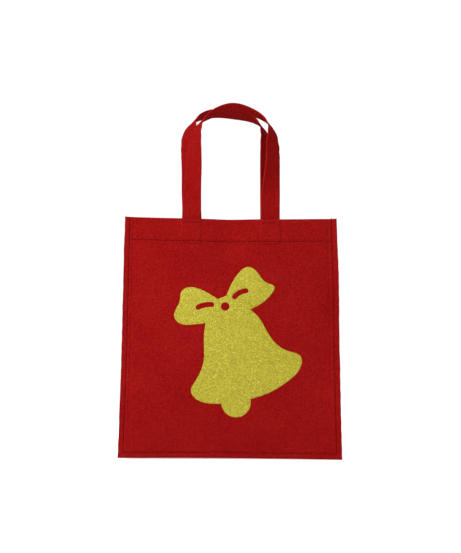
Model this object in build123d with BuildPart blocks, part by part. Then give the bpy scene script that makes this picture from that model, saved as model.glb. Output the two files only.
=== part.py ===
"""A small non-woven tote bag with a glitter bell applique, two loop handles and sewn seams.

Frame: +X to the right, +Z up, and the front panel faces -Y. The origin is the middle of the
bottom edge. Lengths are in millimetres, angles in degrees.
"""

from build123d import *
import os

os.makedirs("parts", exist_ok=True)

# Driving dimensions
BAG_WIDTH = 210.0
BAG_HEIGHT = 232.0
FABRIC = 0.6
SEAM_STRIP = 6.0
STITCH_INSET = 5.0
HEM_DEPTH = 25.0
HEM_STITCH_DROP = 23.2
MOUTH_BULGE = 7.0
SEAM_BULGE = 0.25
STRAP_WIDTH = 19.0
STRAP_THICKNESS = 1.2
STRAP_SPACING = 78.0
TACK_DROP = 4.0
TACK_WIDTH = 16.0
FILM = 0.3
THREAD_WIDTH = 0.8
THREAD_HEIGHT = 0.35
BOBBIN_REACH = 90.0
TOUCH = 0.02
HANDLE_GAP = 0.3
HANDLE_LEAN = 7.5
LEAN_HEIGHT = 110.0

# Worked-out places
HALF_WIDTH = BAG_WIDTH / 2
HALF_FIELD = HALF_WIDTH - SEAM_STRIP
HALF_STITCH = HALF_WIDTH - STITCH_INSET
HEM_EDGE = BAG_HEIGHT - HEM_DEPTH
HEM_SAG = MOUTH_BULGE - FABRIC
FIELD_LEVELS = (SEAM_STRIP, 20.0, 45.0, 80.0, 125.0, 170.0, HEM_EDGE)
STRAP_CENTRES = {"left": -STRAP_SPACING / 2, "right": STRAP_SPACING / 2}
STRAP_BACK = TOUCH + STRAP_THICKNESS
STRAP_DEPTH = HEM_SAG * (1 - (STRAP_SPACING / 2 / HALF_FIELD) ** 2) - STRAP_THICKNESS / 2


def bulge(z):
    """How far the middle of a panel stands out from its seams at height z."""
    depth = (HEM_EDGE - z) / (HEM_EDGE - SEAM_STRIP)
    return MOUTH_BULGE - (MOUTH_BULGE - SEAM_BULGE) * depth**3


def curved_band(z, front, back, front_sag, back_sag):
    """A face at height z between two bowed lines whose ends are at y = front and y = back."""
    with BuildSketch(Plane.XY.offset(z)) as band:
        with BuildLine():
            ThreePointArc((-HALF_FIELD, front), (0, front - front_sag), (HALF_FIELD, front))
            Line((HALF_FIELD, front), (HALF_FIELD, back))
            ThreePointArc((HALF_FIELD, back), (0, back - back_sag), (-HALF_FIELD, back))
            Line((-HALF_FIELD, back), (-HALF_FIELD, front))
        make_face()
    return band.sketch.face()


def field_sections(front, back):
    """The faces that a layer on the bowed field of the front panel is lofted through."""
    return [curved_band(z, front, back, bulge(z), bulge(z)) for z in FIELD_LEVELS]


def column(centres, width):
    """Tall blocks at the given x, to cut from a part or keep of it."""
    with BuildPart() as blocks:
        with BuildSketch(Plane.XY):
            with Locations(*[(x, 0) for x in centres]):
                Rectangle(width, 4 * MOUTH_BULGE)
        extrude(amount=BAG_HEIGHT)
    return blocks.part


def save(built, name):
    """Label a finished piece and write it to its own STEP file."""
    built.part.label = name
    export_step(built.part, f"parts/{name}.step")


def save_pair(front, name):
    """Write a front piece, and its mirror image as the same piece of the back panel."""
    save(front, f"front_{name}")
    with BuildPart() as back:
        mirror(front.part, about=Plane.XZ)
    save(back, f"back_{name}")


# Panels: a flat seam strip on three sides, a bowed field, and the hem folded in at the top

with BuildPart() as panel:
    loft(sections=field_sections(-FABRIC, 0))
    extrude(curved_band(HEM_EDGE, -FABRIC, 0, MOUTH_BULGE, HEM_SAG), amount=HEM_DEPTH)
    with BuildSketch(Plane.XZ):
        with Locations((0, BAG_HEIGHT / 2)):
            Rectangle(BAG_WIDTH, BAG_HEIGHT)
        with Locations((0, (SEAM_STRIP + BAG_HEIGHT) / 2)):
            Rectangle(2 * HALF_FIELD, BAG_HEIGHT - SEAM_STRIP, mode=Mode.SUBTRACT)
    extrude(amount=FABRIC)
save_pair(panel, "panel")

# Handle ends: the last of each strap, sewn flat against the inside of the hem

with BuildPart() as handle_ends:
    extrude(curved_band(HEM_EDGE, TOUCH, STRAP_BACK, HEM_SAG, HEM_SAG), amount=HEM_DEPTH)
    add(column(STRAP_CENTRES.values(), STRAP_WIDTH), mode=Mode.INTERSECT)
save_pair(handle_ends, "handle_ends")

# Handles: loops of flat strap. Each station is a place on the strap's middle line, as x and the
# height above the bag, and the angle by which the strap has turned its outer edge back. The legs
# face forward where they are sewn, and the top of the loop lies flat.

FRONT_STATIONS = (
    (-39.0, 0.0, 3),
    (-38.4, 30.0, 20),
    (-37.4, 56.0, 31),
    (-36.2, 80.0, 46),
    (-33.0, 92.0, 61),
    (-26.0, 100.5, 81),
    (-12.5, 108.3, 92),
    (1.0, 111.9, 91),
    (13.0, 110.0, 90),
    (22.5, 106.2, 87),
    (31.2, 101.5, 81),
    (39.2, 92.0, 69),
    (41.2, 76.0, 46),
    (41.6, 58.0, 39),
    (40.2, 36.0, 25),
    (39.2, 16.0, 8),
    (39.0, 0.0, 3),
)
BACK_STATIONS = (
    (-39.0, 0.0, -3),
    (-40.6, 28.0, 8),
    (-41.6, 56.0, 17),
    (-43.4, 80.0, 28),
    (-42.6, 96.0, 44),
    (-38.4, 107.2, 72),
    (-30.0, 113.6, 88),
    (-18.4, 116.6, 93),
    (-6.0, 116.1, 93),
    (6.0, 114.3, 92),
    (17.0, 112.1, 89),
    (26.0, 107.7, 82),
    (32.6, 99.4, 68),
    (36.3, 84.5, 47),
    (38.1, 59.0, 23),
    (38.6, 30.0, 9),
    (39.0, 0.0, -3),
)


def handle_sections(stations, side):
    """Rectangles across a strap at its stations. side is -1 for the front handle, 1 for the back."""
    points = []
    for x, rise, _ in stations:
        y = side * (STRAP_DEPTH + HANDLE_LEAN * (rise / LEAN_HEIGHT) ** 2)
        points.append(Vector(x, y, BAG_HEIGHT + HANDLE_GAP + rise))
    middle_runs = [high - low for low, high in zip(points, points[2:])]
    runs = [Vector(0, 0, 1), *middle_runs, Vector(0, 0, -1)]
    sections = []
    for point, run, (_, _, twist) in zip(points, runs, stations):
        outward = run.cross(Vector(0, 1, 0))
        across = outward.rotate(Axis((0, 0, 0), run), -twist)
        with BuildSketch(Plane(origin=point, x_dir=across, z_dir=run)) as section:
            Rectangle(STRAP_WIDTH, STRAP_THICKNESS)
        sections.append(section.sketch.face())
    return sections


with BuildPart() as front_handle:
    loft(sections=handle_sections(FRONT_STATIONS, -1), ruled=True)
save(front_handle, "front_handle")

with BuildPart() as back_handle:
    loft(sections=handle_sections(BACK_STATIONS, 1), ruled=True)
save(back_handle, "back_handle")

# Bell applique: a film on the field of the front panel, cut to a bell with a bow

KNOT_LEFT = (-12.2, 150.5)
KNOT_RIGHT = (-3.9, 154.1)
NOTCH_RIGHT = (19.0, 140.5)
CLAPPER_RIGHT = (19.1, 54.9)
CLAPPER_LOW = (5.6, 37.9)
CLAPPER_LEFT = (-8.2, 50.5)
NOTCH_LEFT = (-23.8, 127.0)
LEFT_LOOP = (
    KNOT_LEFT,
    (-23.8, 157.6),
    (-32.7, 161.3),
    (-40.6, 162.0),
    (-47.3, 158.0),
    (-49.0, 148.5),
    (-54.1, 133.3),
    (-49.8, 127.4),
    (-36.6, 125.6),
    NOTCH_LEFT,
)
LEFT_SIDE = (
    NOTCH_LEFT,
    (-25.2, 112.5),
    (-25.4, 89.7),
    (-33.7, 70.2),
    (-37.0, 62.3),
    (-32.4, 55.1),
    (-21.8, 50.9),
    CLAPPER_LEFT,
)
RIGHT_SIDE = (
    CLAPPER_RIGHT,
    (37.1, 61.2),
    (57.9, 74.6),
    (66.6, 84.8),
    (67.6, 95.0),
    (54.4, 101.0),
    (41.6, 109.6),
    (33.6, 121.9),
    (27.2, 132.6),
    NOTCH_RIGHT,
)
RIGHT_LOOP = (
    NOTCH_RIGHT,
    (29.7, 146.6),
    (38.1, 154.4),
    (42.3, 163.6),
    (34.6, 167.6),
    (26.4, 177.2),
    (18.1, 183.3),
    (4.4, 172.4),
    KNOT_RIGHT,
)
SLIT_WIDTH = 5.2
LEFT_SLIT = ThreePointArc((-31.0, 142.4), (-24.6, 144.7), (-18.2, 145.1))
RIGHT_SLIT = ThreePointArc((4.0, 153.0), (8.6, 157.2), (14.8, 159.2))
KNOT_HOLE = (-5.1, 143.3)
KNOT_HOLE_RADIUS = 4.2

with BuildPart() as bell_applique:
    loft(sections=field_sections(-FABRIC - TOUCH - FILM, -FABRIC - TOUCH))
    with BuildSketch(Plane.XZ):
        with BuildLine():
            Line(KNOT_RIGHT, KNOT_LEFT)
            Spline(*LEFT_LOOP)
            Spline(*LEFT_SIDE)
            ThreePointArc(CLAPPER_LEFT, CLAPPER_LOW, CLAPPER_RIGHT)
            Spline(*RIGHT_SIDE)
            Spline(*RIGHT_LOOP)
        make_face()
        SlotArc(LEFT_SLIT, SLIT_WIDTH, mode=Mode.SUBTRACT)
        SlotArc(RIGHT_SLIT, SLIT_WIDTH, mode=Mode.SUBTRACT)
        with Locations(KNOT_HOLE):
            Circle(KNOT_HOLE_RADIUS, mode=Mode.SUBTRACT)
    extrude(amount=2 * MOUTH_BULGE, mode=Mode.INTERSECT)
save(bell_applique, "bell_applique")

# Threads: needle thread on the outside and bobbin thread on the inside or the far side

with BuildPart() as needle_seam:
    with BuildSketch(Plane.XZ.offset(FABRIC + TOUCH)):
        for inset, mode in ((-THREAD_WIDTH / 2, Mode.ADD), (THREAD_WIDTH / 2, Mode.SUBTRACT)):
            low = STITCH_INSET + inset
            with Locations((0, (low + BAG_HEIGHT) / 2)):
                Rectangle(2 * (HALF_STITCH - inset), BAG_HEIGHT - low, mode=mode)
    extrude(amount=THREAD_HEIGHT)
save(needle_seam, "perimeter_needle_thread")

with BuildPart() as bobbin_seam:
    mirror(needle_seam.part, about=Plane.XZ)
save(bobbin_seam, "perimeter_bobbin_thread")


def outer_run(drop):
    """Needle thread across the whole hem, this far below the mouth."""
    z = BAG_HEIGHT - drop - THREAD_WIDTH / 2
    face = -FABRIC - TOUCH
    band = curved_band(z, face - THREAD_HEIGHT, face, MOUTH_BULGE, MOUTH_BULGE)
    return extrude(band, amount=THREAD_WIDTH, mode=Mode.PRIVATE)


def inner_run(drop, face):
    """Bobbin thread across the whole hem, on a surface this far inside the hem."""
    z = BAG_HEIGHT - drop - THREAD_WIDTH / 2
    band = curved_band(z, face + TOUCH, face + TOUCH + THREAD_HEIGHT, HEM_SAG, HEM_SAG)
    return extrude(band, amount=THREAD_WIDTH, mode=Mode.PRIVATE)


with BuildPart() as hem_needle:
    add(outer_run(HEM_STITCH_DROP))
save_pair(hem_needle, "hem_needle_thread")

over_straps = column(STRAP_CENTRES.values(), STRAP_WIDTH + 2 * TOUCH)
beside_straps = column([0], 2 * BOBBIN_REACH) - over_straps
run_beside_straps = inner_run(HEM_STITCH_DROP, 0) & beside_straps
run_over_straps = inner_run(HEM_STITCH_DROP, STRAP_BACK) & over_straps
with BuildPart() as hem_bobbin:
    add(run_beside_straps)
    add(run_over_straps)
save_pair(hem_bobbin, "hem_bobbin_thread")

for side, centre in STRAP_CENTRES.items():
    with BuildPart() as tack:
        add(outer_run(TACK_DROP))
        add(inner_run(TACK_DROP, STRAP_BACK))
        add(column([centre], TACK_WIDTH), mode=Mode.INTERSECT)
    save_pair(tack, f"{side}_tack_thread")
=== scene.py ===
"""The looks of a small red non-woven tote bag with a glitter bell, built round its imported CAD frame.

Shapes are worked out in millimetres in the frame's axes (front towards -Y), and become metres when
a mesh is made. The bag's two panels, its stitches and its bell all lie on one worked-out surface,
so they meet wherever that surface is bowed, creased or pulled in by a seam.
"""

import math

import bmesh
import bpy
import numpy as np
from mathutils import Matrix, Vector, geometry


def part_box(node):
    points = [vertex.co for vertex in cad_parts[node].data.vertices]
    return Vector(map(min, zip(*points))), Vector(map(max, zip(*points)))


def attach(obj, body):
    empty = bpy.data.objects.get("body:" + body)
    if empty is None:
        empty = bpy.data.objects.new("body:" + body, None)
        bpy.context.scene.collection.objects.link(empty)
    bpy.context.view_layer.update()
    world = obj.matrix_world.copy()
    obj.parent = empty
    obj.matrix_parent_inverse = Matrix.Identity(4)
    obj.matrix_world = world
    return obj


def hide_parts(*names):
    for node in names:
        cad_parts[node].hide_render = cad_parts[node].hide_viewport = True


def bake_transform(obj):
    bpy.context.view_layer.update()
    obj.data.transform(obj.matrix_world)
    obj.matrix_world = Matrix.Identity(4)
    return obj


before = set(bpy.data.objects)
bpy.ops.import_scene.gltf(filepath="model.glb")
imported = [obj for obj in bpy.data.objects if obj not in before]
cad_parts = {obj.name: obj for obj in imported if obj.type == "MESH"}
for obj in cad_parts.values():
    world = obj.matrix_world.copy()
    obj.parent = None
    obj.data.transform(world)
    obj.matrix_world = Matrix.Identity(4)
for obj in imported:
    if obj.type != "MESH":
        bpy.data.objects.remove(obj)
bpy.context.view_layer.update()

# Dimensions, in millimetres
MM = 0.001
HALF_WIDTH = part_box("front_panel")[1].x / MM
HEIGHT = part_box("front_panel")[1].z / MM
FABRIC = 0.6
SEAM_STRIP = 6.0
STITCH_INSET = 5.0
HEM_DEPTH = 25.0
HEM_STITCH_DROP = 22.8
MOUTH_BULGE = 7.0
SEAM_BULGE = 0.25
MOUTH_DIP = 3.4
MOUTH_LIFT = 1.25
MOUTH_TILT = 0.5
BOTTOM_LIFT = 0.3
BOTTOM_ARCH = 0.6
HOLLOW_DEPTH = 3.2
HOLLOW_X, HOLLOW_Z = -2, 215
STRAP_WIDTH = 19.0
STRAP_THICKNESS = 1.2
STRAP_SPACING = 78.0
REST_GAP = 0.02
TACK_DROP = 4.0
TACK_WIDTH = 16.0
BOBBIN_REACH = 90.0
HANDLE_GAP = 0.3
HANDLE_LEAN = 7.5
LEAN_HEIGHT = 110.0
FILM = 0.3
THREAD_RADIUS = 0.30
SEAM_PITCH = 2.8
HEM_PITCH = 3.2
STRAP_PITCH = 3.0
TACK_PITCH = 2.6

# Relief pressed into a panel by its sewing: how far it stands out, and its half width
SEAM_GROOVE = (-0.34, 0.65)
SEAM_SHOULDER = (0.20, 1.0)
SIDE_CREASE = (-0.28, 1.3)
HEM_END_GROOVE = (-0.22, 0.9)
HEM_GROOVE = (-0.42, 1.2)
HEM_SHOULDER = (0.18, 1.6)
TACK_GROOVE = (-0.25, 0.9)
HEM_STEP = 0.22
STRAP_STEP = 0.70
STRAP_STEP_SOFTNESS = 1.2

HALF_FIELD = HALF_WIDTH - SEAM_STRIP
HALF_STITCH = HALF_WIDTH - STITCH_INSET
HEM_EDGE = HEIGHT - HEM_DEPTH
HEM_STITCH = HEIGHT - HEM_STITCH_DROP
HEM_SAG = MOUTH_BULGE - FABRIC
STRAP_AT = STRAP_SPACING / 2
STRAP_DEPTH = HEM_SAG * (1 - (STRAP_AT / HALF_FIELD) ** 2) - STRAP_THICKNESS / 2
HINGE_AT = HEM_DEPTH + HANDLE_GAP  # along a strap, from its end to the hinge line
FRONT, BACK = -1, 1


# Camera, lights and surroundings


def make_camera():
    """A camera low in front of the bag, looking a little up at it."""
    data = bpy.data.cameras.new("camera")
    focal_length_over_long_side = 1.1754
    data.lens = data.sensor_width * focal_length_over_long_side
    camera = bpy.data.objects.new("camera", data)
    bpy.context.scene.collection.objects.link(camera)
    level = Matrix.Rotation(math.radians(90), 3, "X")
    look_up, lean, look_left = math.radians(9.98), math.radians(-0.30), math.radians(-0.15)
    turn = Vector((look_up, lean, look_left))
    camera.matrix_world = (Matrix.Rotation(turn.length, 3, turn) @ level).to_4x4()
    camera.location = (-0.0015, -0.6283, 0.0630)
    bpy.context.scene.camera = camera


def area_light(name, place, target, size, power, colour):
    """A soft square lamp at place that points at target."""
    data = bpy.data.lights.new(name, "AREA")
    data.size = size
    data.energy = power
    data.color = colour
    lamp = bpy.data.objects.new(name, data)
    bpy.context.scene.collection.objects.link(lamp)
    lamp.location = place
    lamp.rotation_euler = (Vector(target) - Vector(place)).to_track_quat("-Z", "Y").to_euler()


def make_surroundings():
    """A white world, a large pale floor and two soft lamps, the stronger at the upper left."""
    world = bpy.data.worlds.new("studio")
    world.use_nodes = True
    world.node_tree.nodes["Background"].inputs["Color"].default_value = (1, 1, 1, 1)
    world.node_tree.nodes["Background"].inputs["Strength"].default_value = 1.06
    scene = bpy.context.scene
    scene.world = world
    scene.view_settings.view_transform = "Standard"
    area_light("key", (-1.35, -1.60, 1.75), (0, 0, 0.14), 0.85, 128, (1.0, 0.98, 0.95))
    area_light("rim", (0.9, 0.5, 0.8), (0, 0, 0.2), 0.9, 5, (0.96, 0.98, 1.0))

    half, level = 60.0, -0.0004
    mesh = bpy.data.meshes.new("floor")
    corners = [(-half, -half, level), (half, -half, level), (half, half, level), (-half, half, level)]
    mesh.from_pydata(corners, [], [(0, 1, 2, 3)])
    floor = bpy.data.objects.new("floor", mesh)
    scene.collection.objects.link(floor)
    pale = Surface("pale_floor", Roughness=0.9)
    cloud = pale.node("ShaderNodeTexNoise", pale.coordinates("Object"), Scale=3.0, Detail=2.0)
    pale.colour(cloud.outputs["Fac"], [(0.3, (0.945, 0.945, 0.945)), (0.7, (0.965, 0.965, 0.965))])
    mesh.materials.append(pale.material)


# Materials

# UV coordinates are in units of 100 mm, and the shifts set the front's and back's patterns apart
BACK_CLOTH_UV_SHIFT = 0.37
STRAP_UV_SHIFT = 0.5


class Surface:
    """A Principled material whose patterns are added one node at a time."""

    def __init__(self, name, **settings):
        self.material = bpy.data.materials.new(name)
        self.material.use_nodes = True
        self.tree = self.material.node_tree
        self.shader = self.tree.nodes["Principled BSDF"]
        self.fill(self.shader, settings)

    @staticmethod
    def fill(node, settings):
        """Sets a node's sockets, where an underscore in a name stands for a space."""
        for socket, value in settings.items():
            node.inputs[socket.replace("_", " ")].default_value = value

    def coordinates(self, kind, scale=None, turn=0.0):
        """The named coordinates, stretched and turned in the surface's plane."""
        source = self.tree.nodes.new("ShaderNodeTexCoord").outputs[kind]
        if scale is None:
            return source
        mapping = self.tree.nodes.new("ShaderNodeMapping")
        mapping.inputs["Scale"].default_value = scale
        mapping.inputs["Rotation"].default_value = (0, 0, math.radians(turn))
        self.tree.links.new(source, mapping.inputs["Vector"])
        return mapping.outputs["Vector"]

    def node(self, kind, vector, **settings):
        """A texture node read at vector."""
        made = self.tree.nodes.new(kind)
        self.fill(made, settings)
        self.tree.links.new(vector, made.inputs["Vector"])
        return made

    def math(self, operation, first, second=0.0):
        """A Math node of one or two inputs, each a socket or a number."""
        made = self.tree.nodes.new("ShaderNodeMath")
        made.operation = operation
        for value, socket in zip((first, second), made.inputs):
            if isinstance(value, (int, float)):
                socket.default_value = value
            else:
                self.tree.links.new(value, socket)
        return made.outputs[0]

    def ramp(self, value, stops):
        """A colour from a value, by stops of a place and a colour."""
        made = self.tree.nodes.new("ShaderNodeValToRGB")
        elements = made.color_ramp.elements
        while len(elements) < len(stops):
            elements.new(0.5)
        for element, (place, colour) in zip(elements, stops):
            element.position = place
            element.color = (*colour, 1)
        self.tree.links.new(value, made.inputs["Fac"])
        return made.outputs["Color"]

    def colour(self, value, stops):
        self.tree.links.new(self.ramp(value, stops), self.shader.inputs["Base Color"])

    def drive(self, socket, value, low, high):
        """Sets a socket from a 0 to 1 value, as low to high."""
        made = self.tree.nodes.new("ShaderNodeMapRange")
        made.inputs["To Min"].default_value = low
        made.inputs["To Max"].default_value = high
        self.tree.links.new(value, made.inputs["Value"])
        self.tree.links.new(made.outputs["Result"], self.shader.inputs[socket])

    def bump(self, height, distance, strength):
        made = self.tree.nodes.new("ShaderNodeBump")
        made.inputs["Distance"].default_value = distance
        made.inputs["Strength"].default_value = strength
        self.tree.links.new(height, made.inputs["Height"])
        self.tree.links.new(made.outputs["Normal"], self.shader.inputs["Normal"])


def red_nonwoven(name, dark, middle, light, highlight_edges=False):
    """Bonded fibres: fine tangled fibres, a lattice of pressed bond points and a slow unevenness.

    A scale of 100 is a pattern of about 1 mm. A strap's cut edges get a painted highlight, a paler colour
    that stands for light caught along them.
    """
    cloth = Surface(name, Roughness=0.8)
    cloth.shader.inputs["Specular IOR Level"].default_value = 0.003
    across = cloth.node(
        "ShaderNodeTexNoise", cloth.coordinates("UV", (1, 2.4, 1), 35), Scale=95, Detail=5, Distortion=1.5
    )
    along = cloth.node(
        "ShaderNodeTexNoise", cloth.coordinates("UV", (1, 2.4, 1), -50), Scale=105, Detail=5, Distortion=1.5
    )
    diagonal = cloth.coordinates("UV", (1, 1, 1), 45)
    bonds = cloth.node("ShaderNodeTexVoronoi", diagonal, Scale=88, Randomness=0.45)
    patches = cloth.node("ShaderNodeTexNoise", cloth.coordinates("UV"), Scale=2.4, Detail=2)
    fibres = cloth.math("MULTIPLY", cloth.math("ADD", across.outputs["Fac"], along.outputs["Fac"]), 0.5)
    raised = cloth.math("MINIMUM", bonds.outputs["Distance"], 0.5)
    height = cloth.math("ADD", fibres, cloth.math("MULTIPLY", raised, 0.9))
    patchy = cloth.math("MULTIPLY", patches.outputs["Fac"], 0.1)
    shade = cloth.math("ADD", cloth.math("MULTIPLY", height, 0.8), patchy)
    # Painted highlight: the colour turns paler towards a strap's cut edges, standing for light caught along
    # the edges.
    if highlight_edges:
        split = cloth.tree.nodes.new("ShaderNodeSeparateXYZ")
        cloth.tree.links.new(cloth.coordinates("UV"), split.inputs[0])
        unsided = cloth.math("ABSOLUTE", split.outputs["X"])
        from_middle = cloth.math("ABSOLUTE", cloth.math("SUBTRACT", unsided, STRAP_UV_SHIFT))
        highlight_from = STRAP_WIDTH / 2 / 100 * 0.91
        edge_highlight = cloth.math("MULTIPLY", cloth.math("SUBTRACT", from_middle, highlight_from), 18)
        shade = cloth.math("ADD", shade, cloth.math("MAXIMUM", edge_highlight, 0))
    cloth.colour(shade, [(0.54, dark), (0.70, middle), (0.90, light)])
    cloth.drive("Roughness", fibres, 0.95, 0.7)
    cloth.bump(height, 0.0005, 0.55)
    return cloth.material


def gold_glitter():
    """Flakes that each have their own brightness and tilt, over a fine diagonal mesh, and a few with a
    painted glint.
    """
    film = Surface("gold_glitter", Metallic=0.25, Roughness=0.45)
    film.shader.inputs["Specular IOR Level"].default_value = 0.2
    flakes = film.node("ShaderNodeTexVoronoi", film.coordinates("UV"), Scale=150, Randomness=1.0)
    glint_cells = film.node("ShaderNodeTexVoronoi", film.coordinates("UV"), Scale=140, Randomness=1.0)
    split = film.tree.nodes.new("ShaderNodeSeparateColor")
    film.tree.links.new(flakes.outputs["Color"], split.inputs["Color"])
    glint_pick = film.tree.nodes.new("ShaderNodeSeparateColor")
    film.tree.links.new(glint_cells.outputs["Color"], glint_pick.inputs["Color"])
    clumps = film.node("ShaderNodeTexNoise", film.coordinates("UV"), Scale=170, Detail=3, Roughness=0.7)
    diagonal = film.coordinates("UV", (1, 1, 1), 45)
    lattice = film.node("ShaderNodeTexVoronoi", diagonal, Scale=85, Randomness=0.25)
    base = film.math("MULTIPLY", split.outputs["Red"], 0.50)
    grain = film.math("ADD", base, film.math("MULTIPLY", clumps.outputs["Fac"], 0.14))
    woven = film.math("SUBTRACT", grain, film.math("MULTIPLY", lattice.outputs["Distance"], 0.12))
    # Painted glint: a rare few flakes are pushed towards the palest gold, standing for flakes that catch
    # the light.
    painted_glint = film.math("MULTIPLY", film.math("GREATER_THAN", glint_pick.outputs["Green"], 0.96), 0.15)
    golds = [
        (0.0, (0.12, 0.105, 0.004)),
        (0.27, (0.19, 0.168, 0.006)),
        (0.50, (0.26, 0.235, 0.018)),
        (0.80, (0.52, 0.49, 0.18)),
    ]
    film.colour(film.math("ADD", woven, painted_glint), golds)
    film.drive("Roughness", split.outputs["Blue"], 0.28, 0.6)
    film.bump(split.outputs["Green"], 0.0004, 0.35)
    return film.material


def red_thread():
    """Twisted spun thread, darker than the cloth it is sewn through."""
    thread = Surface("red_thread", Roughness=0.6)
    thread.shader.inputs["Specular IOR Level"].default_value = 0.01
    turned = thread.coordinates("Object", (1, 1, 1), 30)
    plies = thread.node("ShaderNodeTexWave", turned, Scale=900, Distortion=2.0)
    fuzz = thread.node("ShaderNodeTexNoise", thread.coordinates("Object"), Scale=2500, Detail=3)
    twist = thread.math("MULTIPLY", plies.outputs["Fac"], 0.6)
    both = thread.math("ADD", twist, thread.math("MULTIPLY", fuzz.outputs["Fac"], 0.4))
    thread.colour(both, [(0.2, (0.028, 0.0002, 0.0003)), (0.8, (0.060, 0.0006, 0.0008))])
    thread.drive("Roughness", fuzz.outputs["Fac"], 0.5, 0.8)
    thread.bump(plies.outputs["Fac"], 0.0001, 0.6)
    return thread.material


# The bag's surface


def smooth(value):
    """0 below 0, 1 above 1, and a soft step between them."""
    t = np.clip(value, 0, 1)
    return t * t * (3 - 2 * t)


def ridge(distance, width):
    """A soft ridge, 1 where distance is 0."""
    return np.exp(-((distance / width) ** 2))


def pressed(distance, relief):
    """A ridge or groove of the named relief along the line where distance is 0."""
    height, width = relief
    return height * ridge(distance, width)


def waves(x, z, seed, count, shortest, longest):
    """A smooth uneven field, mostly within -1.5 to 1.5, made of sine waves in seeded directions."""
    random = np.random.default_rng(seed)
    total = np.zeros(np.broadcast(x, z).shape)
    for _ in range(count):
        angle, phase = random.uniform(0, 2 * math.pi, 2)
        length = random.uniform(shortest, longest)
        total += np.sin((x * math.cos(angle) + z * math.sin(angle)) * 2 * math.pi / length + phase)
    return total / math.sqrt(count)


def bow(x, z):
    """How far a panel stands out from its seams: the CAD panel's bow less a shallow hollow."""
    depth = np.clip((HEM_EDGE - z) / (HEM_EDGE - SEAM_STRIP), 0, 1)
    bulge = MOUTH_BULGE - (MOUTH_BULGE - SEAM_BULGE) * depth**3
    hollow = HOLLOW_DEPTH * ridge(x - HOLLOW_X, 19) * ridge(z - HOLLOW_Z, 45)
    return bulge * np.clip(1 - (x / HALF_FIELD) ** 2, 0, 1) - hollow


def seam_inset(x, z):
    """Distance inwards from the stitched seam that goes down one side, along the bottom and up."""
    return np.minimum(HALF_STITCH - np.abs(x), z - STITCH_INSET)


def over_strap(x):
    """1 where a strap's end lies behind the hem, falling to 0 at its sides."""
    beyond = STRAP_WIDTH / 2 + STRAP_STEP_SOFTNESS - np.abs(np.abs(x) - STRAP_AT)
    return smooth(beyond / (2 * STRAP_STEP_SOFTNESS))


def outer_face(x, z, side):
    """How far the outer face of a panel stands from the bag's middle plane."""
    inset = seam_inset(x, z)
    from_side_seam = HALF_STITCH - np.abs(x)
    within = smooth(inset / 12)
    in_hem = smooth((z - HEM_EDGE + 0.8) / 1.6)
    tacked = smooth((TACK_WIDTH / 2 + 1 - np.abs(np.abs(x) - STRAP_AT)) / 2)
    stand = FABRIC + bow(x, z)
    stand += pressed(inset, SEAM_GROOVE)
    stand += pressed(inset - 2.0, SEAM_SHOULDER)
    stand += pressed(from_side_seam - 3.9, SIDE_CREASE) * smooth((z - 20) / 25)
    stand += pressed(from_side_seam, HEM_END_GROOVE) * in_hem
    stand += HEM_STEP * in_hem * within
    stand += pressed(z - HEM_STITCH, HEM_GROOVE) * within
    stand += pressed(z - HEM_STITCH - 3.0, HEM_SHOULDER) * within
    stand += STRAP_STEP * in_hem * over_strap(x)
    stand += pressed(z - (HEIGHT - TACK_DROP), TACK_GROOVE) * tacked
    stand += within * 0.34 * waves(x, z, 11 + side, 7, 55, 120)
    stand += within * 0.10 * waves(x, z, 31 + side, 9, 18, 34)
    pucker = np.sin(z / 2.3 + side) * np.sin(z / 7.1)
    stand += 0.10 * ridge(inset - 1.5, 4.0) * pucker * smooth((z - 12) / 10)
    return stand


def inner_face(x, z):
    """How far the inner face of a panel, or of its hem, stands from the bag's middle plane."""
    in_hem = smooth((z - HEM_EDGE) / 0.15) * smooth((HALF_FIELD - np.abs(x)) / 4)
    return np.maximum(bow(x, z) - FABRIC * in_hem, 0.03)


def place(x, z, stand, side):
    """Points of the bag in space: its mouth dips, its bottom arches and its sides aren't straight."""
    at_side = np.clip(np.abs(x) / HALF_WIDTH, 0, 1) ** 4
    slack = np.where(x > 0, 0.25 + 0.9 * ridge(z - 172, 44), 0.5 * np.cos((z - 75) / 48))
    cut = 0.12 * waves(z, np.sign(x) * 40, 5, 6, 9, 26) * smooth((np.abs(x) - HALF_STITCH) / 4)
    middle = np.clip(1 - (x / HALF_WIDTH) ** 2, 0, 1)
    mouth = MOUTH_LIFT - MOUTH_TILT * x / HALF_WIDTH - MOUTH_DIP * middle
    bottom = BOTTOM_LIFT * (1 - x / HALF_WIDTH) + BOTTOM_ARCH * middle
    rise = mouth * smooth((z - 110) / (HEIGHT - 110)) + bottom * (1 - smooth(z / 140))
    return np.stack(np.broadcast_arrays(x + at_side * slack + cut, side * stand, z + rise), axis=-1)


# Meshes


def make_piece(name, points, faces, material, uv=None, sharp=35):
    """A mesh object from points in millimetres."""
    mesh = bpy.data.meshes.new(name)
    mesh.from_pydata((np.asarray(points).reshape(-1, 3) * MM).tolist(), [], faces)
    mesh.validate()
    if uv is not None:
        layer = mesh.uv_layers.new(name="surface")
        corners = np.zeros(len(mesh.loops), int)
        mesh.loops.foreach_get("vertex_index", corners)
        layer.data.foreach_set("uv", np.asarray(uv, float).reshape(-1, 2)[corners].ravel())
    mesh.shade_smooth()
    mesh.set_sharp_from_angle(angle=math.radians(sharp))
    mesh.materials.append(material)
    piece = bpy.data.objects.new(name, mesh)
    bpy.context.scene.collection.objects.link(piece)
    return piece


def lattice_faces(rows, columns, closed=False):
    """Quads of a lattice of points counted row by row; closed joins the last row to the first."""
    faces = []
    for row in range(rows if closed else rows - 1):
        here, there = row * columns, (row + 1) % rows * columns
        for i in range(columns - 1):
            faces.append((here + i, here + i + 1, there + i + 1, there + i))
    return faces


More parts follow.
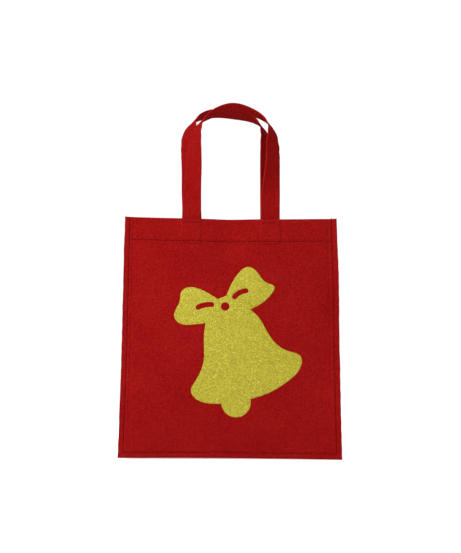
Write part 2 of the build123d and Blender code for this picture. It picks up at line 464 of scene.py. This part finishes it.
def panel(side, name, material):
    """One cloth panel: outer face, rounded mouth, hem turned in, inner face and raw edges."""
    edge = np.linspace(HALF_FIELD - 6, HALF_WIDTH, 31)
    middle = np.linspace(-HALF_FIELD + 6, HALF_FIELD - 6, 171)
    strap_edges = np.array([-STRAP_AT, STRAP_AT])[:, None] + np.array([-STRAP_WIDTH, STRAP_WIDTH]) / 2
    beside_edges = strap_edges.reshape(-1, 1) + np.array([-1.0, -0.5, 0, 0.5, 1.0])
    middle = np.unique(np.round(np.concatenate([middle, beside_edges.ravel()]), 4))
    xs = np.concatenate([-edge[::-1], middle[1:-1], edge])
    roll = FABRIC
    heights = np.concatenate(
        [
            np.linspace(0, 14, 20),
            np.linspace(14, HEM_EDGE - 3, 120)[1:],
            np.linspace(HEM_EDGE - 3, HEM_EDGE + 4, 20)[1:],
            np.linspace(HEM_EDGE + 4, HEIGHT - roll, 24)[1:],
        ]
    )
    turn = np.radians([25, 50, 75, 90, 105, 130, 155])
    z = np.concatenate([heights, HEIGHT - roll + roll * np.sin(turn), heights[::-1]])
    inward = np.concatenate([0 * heights, (1 - np.cos(turn)) / 2, 0 * heights + 1])
    x_all, z_all = np.meshgrid(xs, z)
    inner = inner_face(x_all, z_all)
    outer = outer_face(x_all, z_all, side)
    stand = outer + (inner - outer) * inward[:, None]
    points = place(x_all, z_all, stand, side)
    rows, columns = x_all.shape
    faces = lattice_faces(rows, columns, closed=True)
    for column in (0, columns - 1):
        ring = [row * columns + column for row in range(rows)]
        for k in range(len(heights) - 1):
            faces.append((ring[k], ring[k + 1], ring[rows - 2 - k], ring[rows - 1 - k]))
        faces.append(tuple(ring[len(heights) - 1 : rows - len(heights) + 1]))
    uv = np.stack([x_all / 100 + (BACK_CLOTH_UV_SHIFT if side == BACK else 0), z_all / 100], axis=-1)
    piece = make_piece(name, points, faces, material, uv, sharp=50)
    fix_normals(piece)
    return piece


def fix_normals(piece):
    """Turns a closed mesh's faces outwards."""
    work = bmesh.new()
    work.from_mesh(piece.data)
    bmesh.ops.recalc_face_normals(work, faces=work.faces)
    work.to_mesh(piece.data)
    work.free()


# Stitches


def along_line(corners, step):
    """Centres and directions of stitches spaced along a line of corners, none crossing a corner."""
    centres, directions = [], []
    for start, end in zip(corners, corners[1:]):
        start, end = np.array(start, float), np.array(end, float)
        run = np.linalg.norm(end - start)
        count = max(1, round(run / step))
        heading = (end - start) / run
        for k in range(count):
            centres.append(start + heading * run * (k + 0.5) / count)
            directions.append(heading)
    return np.array(centres), np.array(directions)


def tube_faces(first, rings, sides):
    """Faces of a closed tube whose points are counted ring by ring from first."""
    faces = []
    for i in range(rings - 1):
        here, there = first + i * sides, first + (i + 1) * sides
        for j in range(sides):
            k = (j + 1) % sides
            faces.append((here + j, here + k, there + k, there + j))
    last = first + (rings - 1) * sides
    faces.append(tuple(range(first, first + sides)))
    faces.append(tuple(reversed(range(last, last + sides))))
    return faces


def stitches(name, lines, step, face_of, side, material, outward=1, seed=1):
    """Short arched threads along lines on a face of a panel, in one piece, each a little uneven."""
    random = np.random.default_rng(seed)
    length = 0.78 * step
    t = np.linspace(-1, 1, 7)
    lift = 0.20 * (1 - t**2) - 0.20 * t**4
    around = np.radians(np.arange(0, 360, 60))
    points, faces = [], []
    for line in lines:
        for centre, heading in zip(*along_line(line, step)):
            lean = random.normal(0, 0.05)
            heading = np.array([heading[0] - lean * heading[1], heading[1] + lean * heading[0]])
            aside = np.array([-heading[1], heading[0]])
            middle = centre + aside * random.normal(0, 0.06)
            reach = length / 2 * random.uniform(0.92, 1.06)
            radius = THREAD_RADIUS * np.sqrt(1 - 0.85 * t**6) * random.uniform(0.92, 1.08)
            flat = middle + np.outer(t * reach, heading)
            ring_x = flat[:, None, 0] + aside[0] * radius[:, None] * np.sin(around)
            ring_z = flat[:, None, 1] + aside[1] * radius[:, None] * np.sin(around)
            ground = face_of(flat[:, 0], flat[:, 1])[:, None]
            stand = ground + outward * (lift[:, None] + radius[:, None] * 0.8 * np.cos(around))
            faces += tube_faces(len(points) * len(t) * len(around), len(t), len(around))
            points.append(place(ring_x, ring_z, stand, side))
    points = np.concatenate([ring.reshape(-1, 3) for ring in points])
    piece = make_piece(name, points, faces, material, sharp=80)
    fix_normals(piece)
    return piece


def strap_face(x, z):
    """How far the inner face of a strap's sewn end stands from the bag's middle plane."""
    return inner_face(x, z) - REST_GAP - STRAP_THICKNESS


def sew_bag(material):
    """Every line of stitching, each standing for its CAD thread."""
    seam = [(-HALF_STITCH, HEIGHT + 0.3), (-HALF_STITCH, STITCH_INSET)]
    seam += [(HALF_STITCH, STITCH_INSET), (HALF_STITCH, HEIGHT + 1.4)]
    hem = [(-HALF_FIELD, HEM_STITCH), (HALF_FIELD, HEM_STITCH)]
    near, far = STRAP_AT - STRAP_WIDTH / 2 - 0.4, STRAP_AT + STRAP_WIDTH / 2 + 0.4
    stretches = ((-BOBBIN_REACH, -far), (-near, near), (far, BOBBIN_REACH))
    beside = [[(start, HEM_STITCH), (end, HEM_STITCH)] for start, end in stretches]
    over = [[(sign * STRAP_AT - 9, HEM_STITCH), (sign * STRAP_AT + 9, HEM_STITCH)] for sign in (-1, 1)]

    made = []
    for side, word in ((FRONT, "front"), (BACK, "back")):

        def cloth_face(x, z, side=side):
            return outer_face(x, z, side)

        def sew(name, lines, pitch, face_of, outward, *nodes, side=side):
            made.append((name, lines, pitch, face_of, side, outward, nodes))

        layer = "needle" if side == FRONT else "bobbin"
        sew(f"perimeter_{layer}", [seam], SEAM_PITCH, cloth_face, 1, f"perimeter_{layer}_thread")
        sew(f"{word}_hem_needle", [hem], HEM_PITCH, cloth_face, 1, f"{word}_hem_needle_thread")
        sew(f"{word}_hem_bobbin", beside, HEM_PITCH, inner_face, -1, f"{word}_hem_bobbin_thread")
        sew(f"{word}_hem_bobbin_on_straps", over, STRAP_PITCH, strap_face, -1)
        for sign, hand in ((-1, "left"), (1, "right")):
            low, high = sign * STRAP_AT - TACK_WIDTH / 2, sign * STRAP_AT + TACK_WIDTH / 2
            tack = [[(low, HEIGHT - TACK_DROP), (high, HEIGHT - TACK_DROP)]]
            sew(f"{word}_{hand}_tack", tack, TACK_PITCH, cloth_face, 1, f"{word}_{hand}_tack_thread")
            sew(f"{word}_{hand}_tack_inside", tack, TACK_PITCH, strap_face, -1)
    for seed, (name, lines, pitch, face_of, side, outward, nodes) in enumerate(made):
        piece = stitches(f"{name}_stitches", lines, pitch, face_of, side, material, outward, seed)
        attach(piece, "bag")
        if nodes:
            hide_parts(*nodes)


# Handles


def spline(knots, values, at):
    """A natural cubic spline through values at the knots, read at other places."""
    gap = np.diff(knots)
    rise = np.diff(values, axis=0) / gap[:, None]
    count = len(knots)
    system = np.eye(count)
    right = np.zeros_like(values)
    for i in range(1, count - 1):
        system[i, i - 1 : i + 2] = gap[i - 1], 2 * (gap[i - 1] + gap[i]), gap[i]
        right[i] = 6 * (rise[i] - rise[i - 1])
    bend = np.linalg.solve(system, right)
    span = np.clip(np.searchsorted(knots, at) - 1, 0, count - 2)
    t, g = (at - knots[span])[:, None], gap[span][:, None]
    low, high = bend[span], bend[span + 1]
    slope = rise[span] - g * (2 * low + high) / 6
    return values[span] + t * slope + t**2 * low / 2 + t**3 * (high - low) / (6 * g)


def follow(knots, values, at):
    """Values read between knots, each column by straight lines."""
    return np.stack([np.interp(at, knots, column) for column in values.T], axis=-1)


# Stations of the straps' middle lines: x, height above the hinge line, which is HANDLE_GAP above the
# mouth, and the degrees by which the outer edge is turned back
FRONT_STATIONS = (
    (-39.0, 0.0, 3),
    (-38.4, 30.0, 20),
    (-37.4, 56.0, 31),
    (-36.2, 80.0, 46),
    (-33.0, 92.0, 61),
    (-26.0, 100.5, 81),
    (-12.5, 108.3, 92),
    (1.0, 111.9, 91),
    (13.0, 110.0, 90),
    (22.5, 106.2, 87),
    (31.2, 101.5, 81),
    (39.2, 92.0, 69),
    (41.2, 76.0, 46),
    (41.6, 58.0, 39),
    (40.2, 36.0, 25),
    (39.2, 16.0, 8),
    (39.0, 0.0, 3),
)
BACK_STATIONS = (
    (-39.0, 0.0, -3),
    (-40.6, 28.0, 8),
    (-41.6, 56.0, 17),
    (-43.4, 80.0, 28),
    (-42.6, 96.0, 44),
    (-38.4, 107.2, 72),
    (-30.0, 113.6, 88),
    (-18.4, 116.6, 93),
    (-6.0, 116.1, 93),
    (6.0, 114.3, 92),
    (17.0, 112.1, 89),
    (26.0, 107.7, 82),
    (32.6, 99.4, 68),
    (36.3, 84.5, 47),
    (38.1, 59.0, 23),
    (38.6, 30.0, 9),
    (39.0, 0.0, -3),
)

# Heights of the stations inside the hem, from the same line
SUNK_STATIONS = (-HEM_DEPTH - HANDLE_GAP, -16.0, -7.0)
STRAP_COLUMNS = 19


def strap_rows(total):
    """Places along a strap, closer together where it bends at the mouth's edge."""
    sunk = np.arange(0, HINGE_AT - 4, 1.5)
    bend = np.arange(HINGE_AT - 4, HINGE_AT + 5, 0.5)
    loop = np.arange(HINGE_AT + 5, total - HINGE_AT - 5, 1.6)
    return np.concatenate([sunk, bend, loop, total - bend[::-1], total - sunk[::-1]])


def strap_line(side, stations):
    """Places along a strap, with its middle line, its direction across and its height at each."""
    first, last = stations[0], stations[-1]
    route = [(first[0], z, first[2]) for z in SUNK_STATIONS] + list(stations)
    route += [(last[0], z, last[2]) for z in SUNK_STATIONS[::-1]]
    route = np.array(route, float)
    knots = np.concatenate([[0], np.cumsum(np.hypot(*np.diff(route[:, :2], axis=0).T))])
    at = strap_rows(knots[-1])
    x, rise, turn = spline(knots, route, at).T
    y = side * (STRAP_DEPTH + HANDLE_LEAN * (np.clip(rise, 0, None) / LEAN_HEIGHT) ** 2)
    middle = np.stack([x, y, HEIGHT + HANDLE_GAP + rise], axis=-1)
    run = np.gradient(middle, at, axis=0)
    run /= np.linalg.norm(run, axis=1)[:, None]
    outward = np.cross(run, (0, 1, 0))
    outward /= np.linalg.norm(outward, axis=1)[:, None]
    angle = np.radians(turn)[:, None]
    across = outward * np.cos(angle) + np.cross(outward, run) * np.sin(angle)
    return at, middle, across, rise


def strap_section():
    """Points round a strap's section: places across it, from -1 to 1 and back, and their heights."""
    u = np.sin(np.linspace(-1, 1, STRAP_COLUMNS) * np.pi / 2)
    half_thick = STRAP_THICKNESS / 2 * np.sqrt(1 - np.abs(u) ** 18 * 0.96)
    upper = half_thick + 0.18 * ridge((np.abs(u) - 0.90) * STRAP_WIDTH / 2, 0.7)
    return np.concatenate([u, u[::-1][1:-1]]), np.concatenate([upper, -upper[::-1][1:-1]])


def strap(name, side, stations, material):
    """A strap from its end inside the hem, up, over the loop and down to its other end."""
    at, middle, across, rise = strap_line(side, stations)
    total = at[-1]
    ring_u, ring_h = strap_section()
    s_all, u_all = np.meshgrid(at, ring_u, indexing="ij")

    free = smooth((at - HINGE_AT - 6) / 20) * smooth((total - HINGE_AT - 6 - at) / 20)
    from_left, from_right = at - total * 0.33, at - total * 0.67
    shoulder = ridge(from_left, 16) + ridge(from_right, 16)
    diagonal = np.sin((s_all + u_all * 7.5 * np.sign(s_all - total / 2)) * 2 * np.pi / 11.0)
    soft = 0.20 * waves(s_all, u_all * 9.5, 61 + side, 6, 30, 70)
    wrinkle = free[:, None] * (0.30 * diagonal * shoulder[:, None] + soft)
    cup = free[:, None] * 0.5 * (u_all**2 - 0.4)
    lift = ring_h[None, :] + wrinkle + cup

    half_width = STRAP_WIDTH / 2 * (1 + 0.002 * waves(at, 0 * at, 71 + side, 5, 25, 60))[:, None]
    shift = 7.0 * free * (ridge(from_left, 26) - ridge(from_right, 26))
    outer = follow(at, middle + across * half_width, at - shift)
    inner = follow(at, middle - across * half_width, at + shift)
    share = (u_all[..., None] + 1) / 2
    flat = inner[:, None] * (1 - share) + outer[:, None] * share
    edges_and_middle = flat[:, 0] + flat[:, STRAP_COLUMNS // 2] + flat[:, STRAP_COLUMNS - 1]
    normal = np.cross(np.gradient(edges_and_middle, axis=0), outer - inner)
    normal /= np.linalg.norm(normal, axis=1)[:, None]
    points = flat + normal[:, None] * lift[..., None]

    settled = 1 - smooth((rise - 1) / 24)
    hem_face = inner_face(points[..., 0], np.full(s_all.shape, HEIGHT - 2.0))
    seat = hem_face - REST_GAP - STRAP_THICKNESS / 2
    points[..., 1] += side * settled[:, None] * (seat - STRAP_DEPTH)

    faces = tube_faces(0, *s_all.shape)
    uv = np.stack([u_all * STRAP_WIDTH / 200 + STRAP_UV_SHIFT * side, s_all / 100], axis=-1)
    piece = make_piece(name, points, faces, material, uv, sharp=60)
    fix_normals(piece)
    return piece, total


# Bell

KNOT_LEFT = (-12.2, 150.5)
KNOT_RIGHT = (-3.9, 154.1)
NOTCH_RIGHT = (19.0, 140.5)
CLAPPER_RIGHT = (19.1, 54.9)
CLAPPER_LOW = (5.6, 37.9)
CLAPPER_LEFT = (-8.2, 50.5)
NOTCH_LEFT = (-23.8, 127.0)
LEFT_LOOP = (
    KNOT_LEFT,
    (-23.8, 157.6),
    (-32.7, 161.3),
    (-40.6, 162.0),
    (-47.3, 158.0),
    (-49.0, 148.5),
    (-54.1, 133.3),
    (-49.8, 127.4),
    (-36.6, 125.6),
    NOTCH_LEFT,
)
LEFT_SIDE = (
    NOTCH_LEFT,
    (-25.2, 112.5),
    (-25.4, 89.7),
    (-33.7, 70.2),
    (-37.0, 62.3),
    (-32.4, 55.1),
    (-21.8, 50.9),
    CLAPPER_LEFT,
)
RIGHT_SIDE = (
    CLAPPER_RIGHT,
    (37.1, 61.2),
    (57.9, 74.6),
    (66.6, 84.8),
    (67.6, 95.0),
    (54.4, 101.0),
    (41.6, 109.6),
    (33.6, 121.9),
    (27.2, 132.6),
    NOTCH_RIGHT,
)
RIGHT_LOOP = (
    NOTCH_RIGHT,
    (29.7, 146.6),
    (38.1, 154.4),
    (42.3, 163.6),
    (34.6, 167.6),
    (26.4, 177.2),
    (18.1, 183.3),
    (4.4, 172.4),
    KNOT_RIGHT,
)
SLIT_WIDTH = 5.2
LEFT_SLIT = ((-31.0, 142.4), (-24.6, 144.7), (-18.2, 145.1))
RIGHT_SLIT = ((4.0, 153.0), (8.6, 157.2), (14.8, 159.2))
KNOT_HOLE = (-5.1, 143.3)
KNOT_HOLE_RADIUS = 4.2
OUTLINE_STEP = 0.6
FLAKE_STEP = 0.72
FLAKE_JITTER = 0.24
FLAKE_RELIEF = 0.018


def through(points):
    """Points every OUTLINE_STEP along a smooth line, without its last point."""
    points = np.array(points, float)
    knots = np.concatenate([[0], np.cumsum(np.linalg.norm(np.diff(points, axis=0), axis=1))])
    count = max(2, round(knots[-1] / OUTLINE_STEP))
    return spline(knots, points, np.linspace(0, knots[-1], count + 1))[:-1]


def arc(start, middle, end, radius_change=0.0):
    """Points along the arc through three points, its radius changed by radius_change."""
    (ax, ay), (bx, by), (cx, cy) = start, middle, end
    system = 2 * np.array([[bx - ax, by - ay], [cx - ax, cy - ay]])
    squares = np.array([bx**2 + by**2 - ax**2 - ay**2, cx**2 + cy**2 - ax**2 - ay**2])
    centre = np.linalg.solve(system, squares)
    rays = np.array([start, middle, end]) - centre
    angles = np.unwrap(np.arctan2(rays[:, 1], rays[:, 0]))
    radius = np.linalg.norm(rays[0]) + radius_change
    count = max(3, round(abs(angles[2] - angles[0]) * radius / OUTLINE_STEP))
    swept = np.linspace(angles[0], angles[2], count + 1)
    return centre + radius * np.stack([np.cos(swept), np.sin(swept)], axis=-1)


def slit(line):
    """The outline of a rounded slit along an arc."""
    outer, inner = arc(*line, SLIT_WIDTH / 2), arc(*line, -SLIT_WIDTH / 2)[::-1]

    def end(a, b, beyond):
        middle = (a + b) / 2
        away = middle - beyond
        away /= np.linalg.norm(away)
        return arc(a, middle + away * SLIT_WIDTH / 2, b)[1:-1]

    tip = end(outer[-1], inner[0], (outer[-4] + inner[3]) / 2)
    tail = end(inner[-1], outer[0], (inner[-4] + outer[3]) / 2)
    return np.concatenate([outer, tip, inner, tail])


def bell_loops():
    """The bell's outline and the three holes in it."""
    outline = [through((KNOT_RIGHT, KNOT_LEFT)), through(LEFT_LOOP), through(LEFT_SIDE)]
    outline += [arc(CLAPPER_LEFT, CLAPPER_LOW, CLAPPER_RIGHT)[:-1]]
    outline += [through(RIGHT_SIDE), through(RIGHT_LOOP)]
    turn = np.linspace(0, 2 * np.pi, 40)[:-1]
    hole = np.array(KNOT_HOLE) + KNOT_HOLE_RADIUS * np.stack([np.cos(turn), np.sin(turn)], axis=-1)
    return [np.concatenate(outline), slit(LEFT_SLIT), slit(RIGHT_SLIT), hole]


def inside(points, loops):
    """Whether each point is inside the first loop and outside the others, by crossings."""
    found = np.zeros(len(points), bool)
    for loop in loops:
        for (ax, ay), (bx, by) in zip(loop, np.roll(loop, -1, axis=0)):
            spans = (ay > points[:, 1]) != (by > points[:, 1])
            if ay != by:
                found ^= spans & (points[:, 0] < (bx - ax) * (points[:, 1] - ay) / (by - ay) + ax)
    return found


def rim_distance(points, loops):
    """Distance of each point from the nearest loop point."""
    nearest = np.full(len(points), 1e9)
    for x, z in np.concatenate(loops):
        nearest = np.minimum(nearest, (points[:, 0] - x) ** 2 + (points[:, 1] - z) ** 2)
    return np.sqrt(nearest)


def flake_corners(loops, random):
    """Unevenly spread points inside the bell's outline, a little away from its rims."""
    low, high = loops[0].min(0), loops[0].max(0)
    across, up = np.arange(low[0], high[0], FLAKE_STEP), np.arange(low[1], high[1], FLAKE_STEP * 0.87)
    grid_x, grid_z = np.meshgrid(across, up)
    grid_x[1::2] += FLAKE_STEP / 2
    points = np.stack([grid_x.ravel(), grid_z.ravel()], axis=-1)
    points += random.uniform(-FLAKE_JITTER, FLAKE_JITTER, points.shape) * FLAKE_STEP
    points = points[inside(points, loops)]
    return points[rim_distance(points, loops) > FLAKE_STEP * 0.75]


def bell(name, material):
    """The glitter film: a thin closed sheet on the front panel with a rounded rim and faceted flakes."""
    random = np.random.default_rng(7)
    loops = bell_loops()
    rim = np.concatenate(loops)
    edges, first = [], 0
    for loop in loops:
        edges += [(first + i, first + (i + 1) % len(loop)) for i in range(len(loop))]
        first += len(loop)
    corners = [Vector(p) for p in np.concatenate([rim, flake_corners(loops, random)])]
    flat, _, triangles, *_ = geometry.delaunay_2d_cdt(corners, edges, [], 0, 1e-6)
    flat = np.array([(p.x, p.y) for p in flat])
    triangles = np.array(triangles)
    triangles = triangles[inside(flat[triangles].mean(axis=1), loops)]

    x, z = flat.T
    ground = outer_face(x, z, FRONT) + REST_GAP
    height = FILM * (0.55 + 0.45 * smooth(rim_distance(flat, loops) / 1.2))
    height[len(rim) :] += random.uniform(-FLAKE_RELIEF, FLAKE_RELIEF, len(flat) - len(rim))
    top = place(x, z, ground + height, FRONT)
    bottom = place(x, z, ground, FRONT)
    faces = [tuple(t) for t in triangles.tolist()]
    faces += [tuple(len(flat) + i for i in reversed(t)) for t in triangles.tolist()]
    faces += [(a, b, len(flat) + b, len(flat) + a) for a, b in edges]
    uv = np.tile(flat / 100, (2, 1))
    piece = make_piece(name, np.concatenate([top, bottom]), faces, material, uv, sharp=1)
    fix_normals(piece)
    area = sum(abs(np.cross(flat[b] - flat[a], flat[c] - flat[a])) / 2 for a, b, c in triangles)
    return piece, (loops[0].max(0) - loops[0].min(0)) * MM, area * MM**2


# Making it

make_camera()
make_surroundings()

CLOTH_REDS = (0.064, 0.0003, 0.0004), (0.101, 0.0010, 0.0011), (0.172, 0.0060, 0.0057)
STRAP_REDS = (0.062, 0.0003, 0.0004), (0.096, 0.0009, 0.0010), (0.165, 0.0055, 0.0052)
CLOTH_RED = red_nonwoven("red_nonwoven", *CLOTH_REDS)
# The straps' material has a painted highlight along their cut edges.
STRAP_RED = red_nonwoven("red_strap", *STRAP_REDS, highlight_edges=True)
GLITTER = gold_glitter()
THREAD = red_thread()

for side, word in ((FRONT, "front"), (BACK, "back")):
    cloth = panel(side, f"{word}_cloth", CLOTH_RED)
    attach(cloth, "bag")
    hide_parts(f"{word}_panel")

film, film_size, film_area = bell("bell_film", GLITTER)
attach(film, "bag")
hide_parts("bell_applique")

sew_bag(THREAD)

for side, word, stations in ((FRONT, "front", FRONT_STATIONS), (BACK, "back", BACK_STATIONS)):
    loop, strap_length = strap(f"{word}_strap", side, stations, STRAP_RED)
    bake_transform(loop)
    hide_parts(f"{word}_handle", f"{word}_handle_ends")
